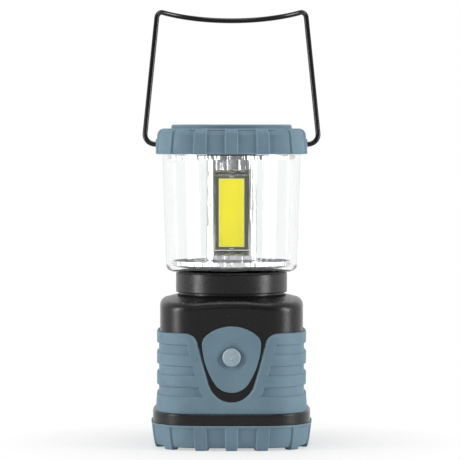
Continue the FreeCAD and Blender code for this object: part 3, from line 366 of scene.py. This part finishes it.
button_rise = BUTTON_BACK - BUTTON_FRONT
edge_start = button_rise - 1.1
button_outline = [(TURNING_EYE, 0.0), (FLANGE_RADIUS, 0.0), (FLANGE_RADIUS, FLANGE_HEIGHT),
                  (BUTTON_RADIUS, FLANGE_HEIGHT), (BUTTON_RADIUS, edge_start)]
button_outline += arc_points((BUTTON_RADIUS - BUTTON_EDGE, edge_start), BUTTON_EDGE, 10, 80, 6)
button_outline += [(3.2, button_rise - 0.03), (2.6, button_rise - 0.14), (1.4, button_rise - 0.28),
                   (TURNING_EYE, button_rise - 0.32)]
push_button = lathe("push_button", button_outline, 96, milky_plastic)
push_button.data.transform(Matrix.Translation((0, BUTTON_BACK * MM, BUTTON_MIDDLE * MM))
                           @ Matrix.Rotation(math.pi / 2, 4, "X"))
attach(push_button, "button")
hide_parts("power_button")


# Globe.
# A clear polycarbonate jar moulded with a spigot that the collar clamps, flaring slightly to an open rim
# that stands in the cap's groove.  Its foot is rounded and its wall is even.
GLOBE_FOOT, GLOBE_RIM = 101.1, 172.7
GLOBE_BASE, GLOBE_MOUTH, GLOBE_WALL, GLOBE_ROUND = 38.2, 40.5, 2.2, 3.6
GLOBE_LEVELS = (112, 124, 136, 148, 160, 170, GLOBE_RIM - 0.3)
SPIGOT_OUT, SPIGOT_IN, SPIGOT_FOOT = 29.6, 27.4, 95.2


def globe_side(height):
    return GLOBE_BASE + (GLOBE_MOUTH - GLOBE_BASE) * (height - GLOBE_FOOT) / (GLOBE_RIM - GLOBE_FOOT)


globe_outline = [(SPIGOT_IN, SPIGOT_FOOT), (SPIGOT_OUT, SPIGOT_FOOT), (SPIGOT_OUT, GLOBE_FOOT)]
round_level = GLOBE_FOOT + GLOBE_ROUND
globe_outline += arc_points((globe_side(round_level) - GLOBE_ROUND, round_level), GLOBE_ROUND, -90, 0, 10)
globe_outline += [(globe_side(level), level) for level in GLOBE_LEVELS]
globe_outline += [(GLOBE_MOUTH - 0.35, GLOBE_RIM), (GLOBE_MOUTH - GLOBE_WALL + 0.3, GLOBE_RIM)]
globe_outline += [(globe_side(level) - GLOBE_WALL, level) for level in reversed(GLOBE_LEVELS)]
inner_round = GLOBE_ROUND - GLOBE_WALL + 0.6
globe_outline += arc_points((globe_side(round_level) - GLOBE_WALL - inner_round,
                             GLOBE_FOOT + GLOBE_WALL + inner_round), inner_round, 0, -90, 8)
globe_outline += [(SPIGOT_IN, GLOBE_FOOT + GLOBE_WALL)]

clear_plastic = bpy.data.materials.new("clear_plastic")
clear_plastic.use_nodes = True
clear_tree, clear_links = clear_plastic.node_tree.nodes, clear_plastic.node_tree.links
clear_surface = clear_tree["Principled BSDF"]
clear_surface.inputs["Base Color"].default_value = (0.965, 0.975, 0.975, 1)
clear_surface.inputs["Transmission Weight"].default_value = 1.0
clear_surface.inputs["IOR"].default_value = 1.40
clear_place = clear_tree.new("ShaderNodeTexCoord")
clear_smears = clear_tree.new("ShaderNodeTexNoise")
clear_smears.inputs["Scale"].default_value = 90
clear_links.new(clear_place.outputs["Object"], clear_smears.inputs["Vector"])
clear_polish = clear_tree.new("ShaderNodeMapRange")
clear_polish.inputs["To Min"].default_value = 0.01
clear_polish.inputs["To Max"].default_value = 0.05
clear_links.new(clear_smears.outputs["Fac"], clear_polish.inputs["Value"])
clear_links.new(clear_polish.outputs["Result"], clear_surface.inputs["Roughness"])
clear_ripple = clear_tree.new("ShaderNodeBump")
clear_ripple.inputs["Strength"].default_value = 0.04
clear_ripple.inputs["Distance"].default_value = 0.0002
clear_links.new(clear_smears.outputs["Fac"], clear_ripple.inputs["Height"])
clear_links.new(clear_ripple.outputs["Normal"], clear_surface.inputs["Normal"])

jar = lathe("jar", globe_outline, 160, clear_plastic)
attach(jar, "lantern_body")
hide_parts("globe")


# Reflector.
# Moulded plastic, metallised bright: a shallow dish with a lip, a square column with a window on each side
# for an LED strip, and a disc over its top.  The metal film shows the flow lines of the moulding.
plated = moulded_material("plated", (0.66, 0.67, 0.68), (0.84, 0.84, 0.85), 0.09, metallic=1.0)
plated_tree, plated_links = plated.node_tree.nodes, plated.node_tree.links
flow_place = plated_tree.new("ShaderNodeTexCoord")
flow_stretch = plated_tree.new("ShaderNodeMapping")
flow_stretch.inputs["Scale"].default_value = (420, 420, 9)
plated_links.new(flow_place.outputs["Object"], flow_stretch.inputs["Vector"])
flow_lines = plated_tree.new("ShaderNodeTexNoise")
flow_lines.inputs["Scale"].default_value = 1.0
flow_lines.inputs["Detail"].default_value = 3
plated_links.new(flow_stretch.outputs["Vector"], flow_lines.inputs["Vector"])
flow_bump = plated_tree.new("ShaderNodeBump")
flow_bump.inputs["Strength"].default_value = 0.8
flow_bump.inputs["Distance"].default_value = 0.0026
plated_links.new(flow_lines.outputs["Fac"], flow_bump.inputs["Height"])
plated_links.new(flow_bump.outputs["Normal"], plated_tree["Principled BSDF"].inputs["Normal"])
dress(plated, "reflector", "top_reflector")


# LED strips.
# Each window holds an aluminium-backed board with a block of yellow phosphor silicone over its chips,
# a thin white dam round the silicone and two tinned pads for the leads.
phosphor = moulded_material("phosphor", (0.86, 0.77, 0.004), (0.88, 0.80, 0.02), 0.42, grain=0.30, speck=1500,
                            shine=0.1)
phosphor_surface = phosphor.node_tree.nodes["Principled BSDF"]
# The weak emission is a painted glow that brightens the phosphor's yellow; it does not stand for lit LEDs.
phosphor_surface.inputs["Emission Color"].default_value = (0.95, 0.84, 0.0, 1)
phosphor_surface.inputs["Emission Strength"].default_value = 0.38
board_mask = moulded_material("board_mask", (0.105, 0.110, 0.030), (0.20, 0.20, 0.08), 0.42)
dam_silicone = moulded_material("dam_silicone", (0.78, 0.79, 0.76), (0.85, 0.85, 0.82), 0.45)
pad_tin = moulded_material("pad_tin", (0.62, 0.62, 0.60), (0.75, 0.75, 0.73), 0.35, metallic=1.0)
LED_SIDES = ("front", "right", "rear", "left")
DAM_WIDTH, DAM_PROUD, DAM_BEVEL = 0.4 * MM, 0.2 * MM, 0.12 * MM
PAD_HALF, PAD_PROUD, PAD_BEVEL = 1.3 * MM, 0.25 * MM, 0.08 * MM
PAD_INSET, PAD_REACH = 0.75 * MM, 0.45 * MM


def rounded_box(low, high, bevel):
    """A box with bevelled edges, as a mesh that is still being edited."""
    shell = bmesh.new()
    bmesh.ops.create_cube(shell, size=1)
    middle, size = (Vector(low) + Vector(high)) / 2, Vector(high) - Vector(low)
    for vert in shell.verts:
        vert.co = Vector([middle[axis] + vert.co[axis] * size[axis] for axis in range(3)])
    bmesh.ops.bevel(shell, geom=shell.edges[:], offset=bevel, segments=2, affect="EDGES", profile=0.5)
    return shell


def join_boxes(name, boxes, bevel, material, turn):
    """One piece from several bevelled boxes, turned about the axis to its side."""
    mesh = bpy.data.meshes.new(name)
    whole = bmesh.new()
    for low, high in boxes:
        part = rounded_box(low, high, bevel)
        part_mesh = bpy.data.meshes.new(name + "_part")
        part.to_mesh(part_mesh)
        part.free()
        whole.from_mesh(part_mesh)
        bpy.data.meshes.remove(part_mesh)
    whole.transform(Matrix.Rotation(turn, 4, "Z"))
    whole.to_mesh(mesh)
    whole.free()
    mesh.materials.append(material)
    piece = bpy.data.objects.new(name, mesh)
    bpy.context.scene.collection.objects.link(piece)
    return piece


led_low, led_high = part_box("led_phosphor_front")
board_low, board_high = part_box("led_board_front")
x0, x1, z0, z1 = led_low[0], led_high[0], led_low[2], led_high[2]
face, front = board_low[1], led_low[1] - DAM_PROUD
dam_strips = [((x0 - DAM_WIDTH, front, z0 - DAM_WIDTH), (x0, face, z1 + DAM_WIDTH)),
              ((x1, front, z0 - DAM_WIDTH), (x1 + DAM_WIDTH, face, z1 + DAM_WIDTH)),
              ((x0, front, z0 - DAM_WIDTH), (x1, face, z0)),
              ((x0, front, z1), (x1, face, z1 + DAM_WIDTH))]
pad_boxes = [((-PAD_HALF, face - PAD_PROUD, level - PAD_REACH), (PAD_HALF, face, level + PAD_REACH))
             for level in (board_low[2] + PAD_INSET, board_high[2] - PAD_INSET)]
for number, side in enumerate(LED_SIDES):
    dress(phosphor, f"led_phosphor_{side}")
    dress(board_mask, f"led_board_{side}")
    turn = number * math.pi / 2
    dam = join_boxes(f"led_dam_{side}", dam_strips, DAM_BEVEL, dam_silicone, turn)
    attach(dam, "lantern_body")
    tinned = join_boxes(f"led_pads_{side}", pad_boxes, PAD_BEVEL, pad_tin, turn)
    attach(tinned, "lantern_body")


# Cap boot and cap plate.
# A rubber boot moulded over the cap's shell, ribbed like the base boot, with panels that fade out over
# its rounded top edge.  A round rubber plate closes it, and a grommet rings each hole for the bail.
CAP_LOW, CAP_TOP, CAP_HALF, CAP_TOP_HALF = 169.7, 184.5, 44.4, 43.0
CAP_CORNER, CAP_EDGE, CAP_INSIDE, CAP_INSIDE_TOP = 21.0, 4.0, 41.4, 173.0
PLATE_SPIGOT = 33.0
WALL_STEPS, EDGE_STEPS = 32, 14
BAIL_LEVEL, BAIL_HOLE, BAIL_SIDE = 175.3, 1.9, 30.0


def cap_half(height):
    return CAP_HALF + (CAP_TOP_HALF - CAP_HALF) * (height - CAP_LOW) / (CAP_TOP - CAP_LOW)


# rows of (half width, height, depth of the panel) in millimetres, from the inside of the wall out and up
cap_rows = [(CAP_INSIDE, CAP_INSIDE_TOP, 0), (CAP_INSIDE, CAP_LOW, 0)]
for inset, rise, depth in ((0.9, 0, 0), (0.5, 0.05, 0), (0.2, 0.2, 0.1), (0.08, 0.45, 0.3), (0.06, 0.7, 0.65),
                           (0.09, 1.0, 1)):
    cap_rows.append((CAP_HALF - inset, CAP_LOW + rise, depth))
for step in range(1, WALL_STEPS + 1):
    level = CAP_LOW + 1.0 + (CAP_TOP - CAP_EDGE - CAP_LOW - 1.0) * step / WALL_STEPS
    cap_rows.append((cap_half(level), level, 1))
edge_half = cap_half(CAP_TOP - CAP_EDGE)
for step in range(1, EDGE_STEPS + 1):
    angle = math.pi / 2 * step / EDGE_STEPS
    half = edge_half - CAP_EDGE * (1 - math.cos(angle))
    level = CAP_TOP - CAP_EDGE * (1 - math.sin(angle))
    cap_rows.append((half, level, 1 - ease(0.35, 0.95, step / EDGE_STEPS)))
cap_diagonal = diagonal_of(CAP_HALF * MM, CAP_CORNER * MM)


def cap_spot(share, row):
    if row == len(cap_rows):
        angle = share * 2 * math.pi
        return Vector((PLATE_SPIGOT * math.sin(angle), -PLATE_SPIGOT * math.cos(angle), CAP_TOP)) * MM
    half, height, depth = cap_rows[row]
    corner = (CAP_CORNER + half - CAP_HALF) * MM
    spot = crowned_square(half * MM, corner, share)
    sunk = PANEL_DEPTH * depth * (1 - rib_mask(spot * (CAP_HALF / half), cap_diagonal)) * MM
    if sunk:
        spot = crowned_square(half * MM - sunk, corner - sunk, share)
    spot.z = height * MM
    if row > len(cap_rows) - EDGE_STEPS:
        spot.z -= 0.4 * sunk
    return spot


def off_the_bail_hole(corners):
    middle = sum(corners, Vector()) / len(corners)
    in_hole = math.hypot(middle.y, middle.z - BAIL_LEVEL * MM) <= BAIL_HOLE * MM
    return not in_hole or abs(middle.x) < BAIL_SIDE * MM


cap_cover = moulded_ring("cap_cover", 960, len(cap_rows) + 1, cap_spot, rubber, off_the_bail_hole,
                         closed=False)
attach(cap_cover, "lantern_body")
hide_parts("cap_boot")

dress(pad_rubber, "cap_plate")

GROMMET_BEAD, BEAD_STEPS = 0.55, 14
bead_centre = BAIL_HOLE + 0.1 + GROMMET_BEAD
bead = arc_points((bead_centre, 0), GROMMET_BEAD, 0, 360, BEAD_STEPS)[:BEAD_STEPS]
for side, label in ((1, "right"), (-1, "left")):
    grommet = lathe(f"grommet_{label}", bead, 64, rubber)
    grommet.data.transform(Matrix.Translation((side * (cap_half(BAIL_LEVEL) - 0.1) * MM, 0, BAIL_LEVEL * MM))
                           @ Matrix.Rotation(math.pi / 2, 4, "Y"))
    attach(grommet, "lantern_body")


# Bail.
# One length of 3 mm steel wire, bent to shape and coated gloss black.  Its hooked ends turn in the cap,
# and the grip is bowed so that it hangs clear of the globe when the bail is folded.
BAIL_WIRE, BAIL_REACH, BAIL_HALF, BAIL_TOP_HALF = 1.5, 81.7, 51.2, 43.8
BAIL_BEND, BAIL_CORNER, BAIL_PIN = 6.0, 4.5, 17.0
BEND_STEPS, LEG_STEPS, GRIP_STEPS, WIRE_ROUNDS = 14, 12, 48, 20
BAIL_SPLAY, BAIL_LEAN = math.radians(42), math.radians(16)


def bend_points(corner, inward, outward, radius, steps):
    """Points of the arc where one direction turns into another at a corner."""
    turn = inward.angle(outward)
    back = radius * math.tan(turn / 2)
    start = corner - inward * back
    sideways = (outward - inward * inward.dot(outward)).normalized()
    centre = start + sideways * radius
    return [centre + inward * (radius * math.sin(turn * step / steps))
            - sideways * (radius * math.cos(turn * step / steps)) for step in range(steps + 1)]


bail_elbow, bail_shoulder = Vector((BAIL_HALF, 0, 0)), Vector((BAIL_TOP_HALF, 0, BAIL_REACH))
bail_leg = (bail_shoulder - bail_elbow).normalized()
bail_bar = Vector((-math.cos(BAIL_SPLAY), math.sin(BAIL_SPLAY), 0))
low_bend = bend_points(bail_elbow, Vector((1, 0, 0)), bail_leg, BAIL_BEND, BEND_STEPS)
high_bend = bend_points(bail_shoulder, bail_leg, bail_bar, BAIL_CORNER, BEND_STEPS)
right_half = [Vector((BAIL_HALF - BAIL_PIN, 0, 0))] + low_bend
right_half += [low_bend[-1].lerp(high_bend[0], step / LEG_STEPS) for step in range(1, LEG_STEPS)]
right_half += high_bend
grip_start = high_bend[-1]
grip_radius = grip_start.x / math.sin(BAIL_SPLAY)
grip = []
for step in range(1, GRIP_STEPS):
    angle = BAIL_SPLAY * (1 - 2 * step / GRIP_STEPS)
    grip.append(Vector((grip_radius * math.sin(angle),
                        grip_start.y + grip_radius * (math.cos(angle) - math.cos(BAIL_SPLAY)), BAIL_REACH)))
wire_path = right_half + grip + [Vector((-p.x, p.y, p.z)) for p in reversed(right_half)]
wire_verts, wire_faces = [], []
across = Vector((0, 1, 0))
for index, spot in enumerate(wire_path):
    before, after = wire_path[max(index - 1, 0)], wire_path[min(index + 1, len(wire_path) - 1)]
    ahead = (after - before).normalized()
    across = (across - ahead * across.dot(ahead)).normalized()
    third = ahead.cross(across)
    for step in range(WIRE_ROUNDS):
        angle = 2 * math.pi * step / WIRE_ROUNDS
        wire_verts.append((spot + (across * math.cos(angle) + third * math.sin(angle)) * BAIL_WIRE) * MM)
for index in range(len(wire_path) - 1):
    for step in range(WIRE_ROUNDS):
        after = (step + 1) % WIRE_ROUNDS
        wire_faces.append((index * WIRE_ROUNDS + step, index * WIRE_ROUNDS + after,
                           (index + 1) * WIRE_ROUNDS + after, (index + 1) * WIRE_ROUNDS + step))
wire_faces.append(tuple(reversed(range(WIRE_ROUNDS))))
wire_faces.append(tuple(range(len(wire_verts) - WIRE_ROUNDS, len(wire_verts))))
black_coat = moulded_material("black_coat", (0.006, 0.006, 0.007), (0.010, 0.010, 0.011), 0.12,
                              grain=0.02, speck=1200, shine=0.3)
bail_wire = piece_from("bail_wire", wire_verts, wire_faces, black_coat)
bail_wire.data.transform(Matrix.Translation((0, 0, BAIL_LEVEL * MM)) @ Matrix.Rotation(-BAIL_LEAN, 4, "X"))
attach(bail_wire, "handle")
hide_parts("bail")


# Battery cover, cells and inner fittings.
# The cover is a stiff dish with a gasket, a zinc-plated coin screw and nickel contacts.
# Four steel-jacketed cells stand in a plain moulded frame; boards and screws are ordinary stock parts.
inner_plastic = moulded_material("inner_plastic", (0.045, 0.045, 0.046), (0.09, 0.09, 0.09), 0.50)
dress(black_plastic, "bottom_cover")
dress(inner_plastic, "battery_frame", "contact_carrier", "board_components", "tact_switch", "switch_plunger")
soft_seal = moulded_material("soft_seal", (0.018, 0.018, 0.018), (0.04, 0.04, 0.04), 0.70)
dress(soft_seal, "cover_gasket", "globe_seal")
zinc = moulded_material("zinc", (0.52, 0.52, 0.53), (0.72, 0.72, 0.73), 0.34, metallic=1.0)
dress(zinc, "cover_screw", "collar_screws", "cap_screws", "carrier_screws", "board_screws")
nickel = moulded_material("nickel", (0.66, 0.64, 0.60), (0.80, 0.78, 0.74), 0.26, metallic=1.0)
dress(nickel, "cover_bridge_left", "cover_bridge_right", "cover_springs", "top_bridge", "top_springs",
      "top_terminal_positive", "top_terminal_negative")
cell_sleeve = moulded_material("cell_sleeve", (0.20, 0.21, 0.23), (0.40, 0.41, 0.42), 0.30, metallic=0.6)
dress(cell_sleeve, "cell_1", "cell_2", "cell_3", "cell_4")
green_mask = moulded_material("green_mask", (0.02, 0.10, 0.04), (0.10, 0.20, 0.10), 0.40)
dress(green_mask, "driver_board", "switch_board")
sink_metal = moulded_material("sink_metal", (0.70, 0.71, 0.72), (0.82, 0.82, 0.83), 0.30, metallic=1.0)
dress(sink_metal, "led_heat_sink")
dress(black_coat, "led_leads")


# Floor, light and camera.
# A pale studio floor that fades into a white backdrop, soft lamps on both sides, over the top and high in
# front, and a long lens in front of the lantern, level with its cap.
FLOOR_REACH = 4.0
FLOOR_CORNERS = ((-1, -1), (1, -1), (1, 1), (-1, 1))
FLOOR_SHADE = (0.86, 0.86, 0.86, 1)

floor_mesh = bpy.data.meshes.new("floor")
floor_mesh.from_pydata([(x * FLOOR_REACH, y * FLOOR_REACH, 0) for x, y in FLOOR_CORNERS], [], [(0, 1, 2, 3)])
floor = bpy.data.objects.new("floor", floor_mesh)
bpy.context.scene.collection.objects.link(floor)

studio_floor = bpy.data.materials.new("studio_floor")
studio_floor.use_nodes = True
floor_nodes, floor_links = studio_floor.node_tree.nodes, studio_floor.node_tree.links
floor_paint = floor_nodes["Principled BSDF"]
floor_paint.inputs["Base Color"].default_value = FLOOR_SHADE
floor_paint.inputs["Roughness"].default_value = 0.6
floor_glow = floor_nodes.new("ShaderNodeEmission")
floor_glow.inputs["Color"].default_value = (1, 1, 1, 1)
floor_rays = floor_nodes.new("ShaderNodeLightPath")
seen_or_mirrored = floor_nodes.new("ShaderNodeMath")
seen_or_mirrored.operation = "MAXIMUM"
floor_links.new(floor_rays.outputs["Is Camera Ray"], seen_or_mirrored.inputs[0])
floor_links.new(floor_rays.outputs["Is Glossy Ray"], seen_or_mirrored.inputs[1])
or_through_glass = floor_nodes.new("ShaderNodeMath")
or_through_glass.operation = "MAXIMUM"
floor_links.new(seen_or_mirrored.outputs[0], or_through_glass.inputs[0])
floor_links.new(floor_rays.outputs["Is Transmission Ray"], or_through_glass.inputs[1])
floor_place = floor_nodes.new("ShaderNodeTexCoord")
floor_distance = floor_nodes.new("ShaderNodeVectorMath")
floor_distance.operation = "LENGTH"
floor_links.new(floor_place.outputs["Object"], floor_distance.inputs[0])
floor_fade = floor_nodes.new("ShaderNodeMapRange")
floor_fade.inputs["From Min"].default_value = 0.05
floor_fade.inputs["From Max"].default_value = 0.14
floor_fade.inputs["To Min"].default_value = 0.55
floor_links.new(floor_distance.outputs["Value"], floor_fade.inputs["Value"])
glow_share = floor_nodes.new("ShaderNodeMath")
glow_share.operation = "MULTIPLY"
floor_links.new(or_through_glass.outputs[0], glow_share.inputs[0])
floor_links.new(floor_fade.outputs["Result"], glow_share.inputs[1])
floor_mix = floor_nodes.new("ShaderNodeMixShader")
floor_links.new(glow_share.outputs[0], floor_mix.inputs["Fac"])
floor_links.new(floor_paint.outputs["BSDF"], floor_mix.inputs[1])
floor_links.new(floor_glow.outputs["Emission"], floor_mix.inputs[2])
floor_links.new(floor_mix.outputs["Shader"], floor_nodes["Material Output"].inputs["Surface"])
floor_mesh.materials.append(studio_floor)

studio = bpy.data.worlds.new("studio")
bpy.context.scene.world = studio
studio.use_nodes = True
sky_nodes, sky_links = studio.node_tree.nodes, studio.node_tree.links
room_light = sky_nodes["Background"]
room_light.inputs["Color"].default_value = (1, 1, 1, 1)
room_light.inputs["Strength"].default_value = 0.13
backdrop = sky_nodes.new("ShaderNodeBackground")
backdrop.inputs["Color"].default_value = (1, 1, 1, 1)
backdrop.inputs["Strength"].default_value = 1.0
sky_rays = sky_nodes.new("ShaderNodeLightPath")
# metal and glass see the white backdrop behind the lantern and a dim room in front of it
sky_way = sky_nodes.new("ShaderNodeTexCoord")
sky_parts = sky_nodes.new("ShaderNodeSeparateXYZ")
sky_links.new(sky_way.outputs["Generated"], sky_parts.inputs["Vector"])
room_fade = sky_nodes.new("ShaderNodeMapRange")
room_fade.inputs["From Min"].default_value = -0.97
room_fade.inputs["From Max"].default_value = 0.45
sky_links.new(sky_parts.outputs["Y"], room_fade.inputs["Value"])
mirrored_or_through = sky_nodes.new("ShaderNodeMath")
mirrored_or_through.operation = "MAXIMUM"
sky_links.new(sky_rays.outputs["Is Glossy Ray"], mirrored_or_through.inputs[0])
sky_links.new(sky_rays.outputs["Is Transmission Ray"], mirrored_or_through.inputs[1])
backdrop_share = sky_nodes.new("ShaderNodeMath")
backdrop_share.operation = "MULTIPLY"
sky_links.new(mirrored_or_through.outputs[0], backdrop_share.inputs[0])
sky_links.new(room_fade.outputs["Result"], backdrop_share.inputs[1])
sky_direct = sky_nodes.new("ShaderNodeMath")
sky_direct.operation = "MAXIMUM"
sky_links.new(sky_rays.outputs["Is Camera Ray"], sky_direct.inputs[0])
sky_links.new(backdrop_share.outputs[0], sky_direct.inputs[1])
sky_mix = sky_nodes.new("ShaderNodeMixShader")
sky_links.new(sky_direct.outputs[0], sky_mix.inputs["Fac"])
sky_links.new(room_light.outputs["Background"], sky_mix.inputs[1])
sky_links.new(backdrop.outputs["Background"], sky_mix.inputs[2])
sky_links.new(sky_mix.outputs["Shader"], sky_nodes["World Output"].inputs["Surface"])


def soft_lamp(name, place, aim, width, power):
    light = bpy.data.lights.new(name, "AREA")
    light.shape = "RECTANGLE"
    light.size, light.size_y = width
    light.energy = power
    lamp = bpy.data.objects.new(name, light)
    lamp.location = place
    lamp.rotation_euler = (Vector(aim) - Vector(place)).to_track_quat("-Z", "Y").to_euler()
    bpy.context.scene.collection.objects.link(lamp)


LANTERN_MIDDLE = (0, 0, 0.12)
soft_lamp("lamp_left", (-0.9, -0.28, 0.3), LANTERN_MIDDLE, (0.3, 0.6), 6.6)
soft_lamp("lamp_right", (0.9, -0.28, 0.3), LANTERN_MIDDLE, (0.3, 0.6), 6.6)
soft_lamp("lamp_top", (0, -0.1, 0.95), LANTERN_MIDDLE, (0.6, 0.6), 4)
soft_lamp("lamp_front", (-0.3, -1.3, 0.8), LANTERN_MIDDLE, (0.7, 0.4), 1.1)

CAMERA_PLACE = (0, -1.77, 0.1854)
CAMERA_AIM = (-0.0009, 0, 0.1251)
CAMERA_LENS, SENSOR_WIDTH = 236.8, 36
camera_lens = bpy.data.cameras.new("camera")
camera_lens.lens = CAMERA_LENS
camera_lens.sensor_width = SENSOR_WIDTH
camera = bpy.data.objects.new("camera", camera_lens)
camera.location = CAMERA_PLACE
camera.rotation_euler = (Vector(CAMERA_AIM) - Vector(CAMERA_PLACE)).to_track_quat("-Z", "Y").to_euler()
bpy.context.scene.collection.objects.link(camera)
bpy.context.scene.camera = camera
bpy.context.scene.view_settings.view_transform = "Standard"
